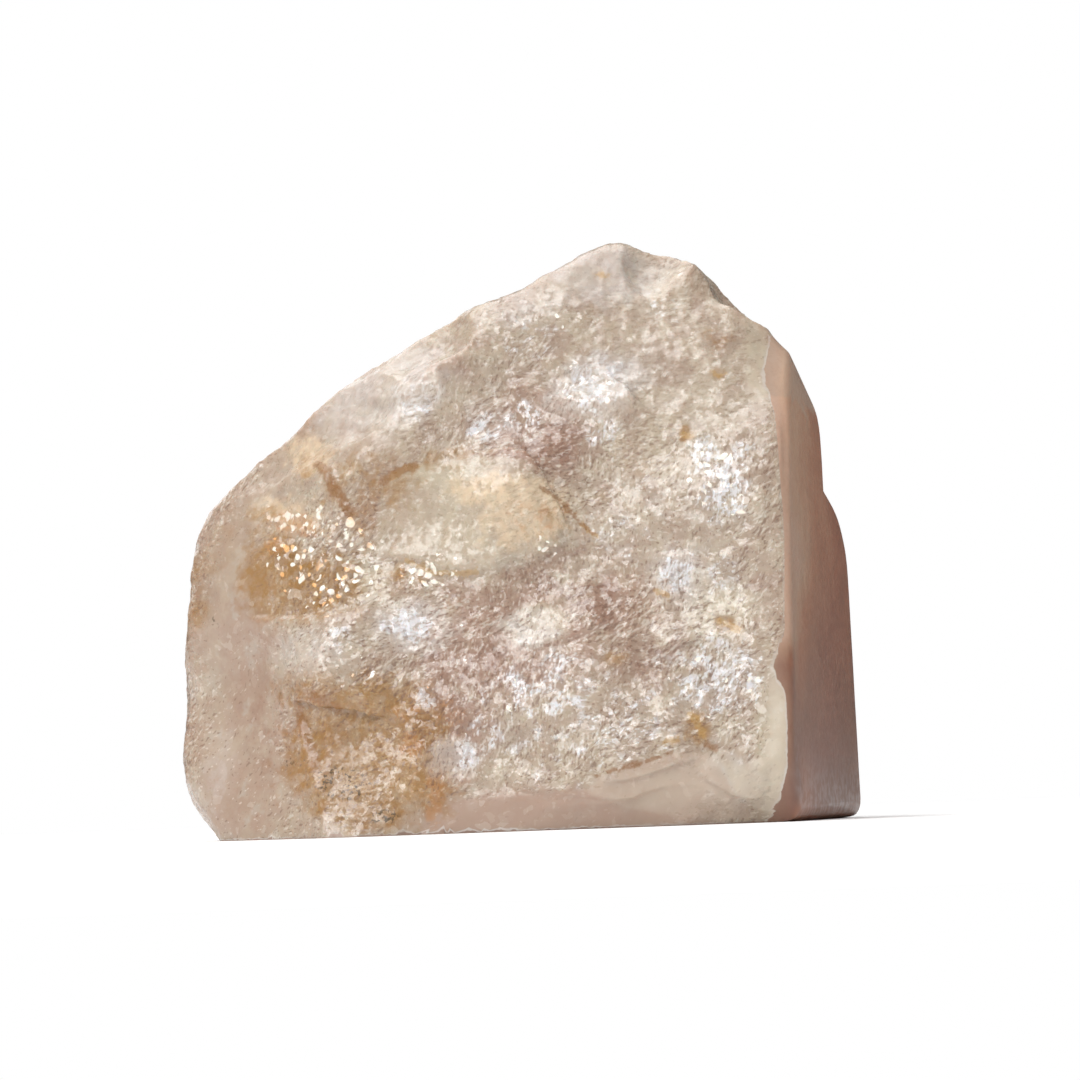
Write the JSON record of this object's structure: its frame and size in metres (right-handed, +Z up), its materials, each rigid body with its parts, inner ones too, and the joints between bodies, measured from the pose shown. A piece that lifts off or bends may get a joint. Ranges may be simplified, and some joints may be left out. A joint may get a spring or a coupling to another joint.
{
  "type": "rough rose quartz chunk",
  "caption": "Rough chunk of pale rose quartz with a fractured front, a sawn base to stand on and a sawn, polished side.",
  "frame": {"origin": "middle of the bounding box in X and Y, on the plane of the sawn base", "axes": "+X to the right along the broken front, towards the sawn side, +Y from the broken front to the back, +Z up from the sawn base to the peak"},
  "size_m": [0.097, 0.0492, 0.0812],
  "materials": {
    "rose_quartz": "satin"
  },
  "bodies": {
    "root": {"rose_quartz_chunk": "rose_quartz"}
  },
  "joints": []
}
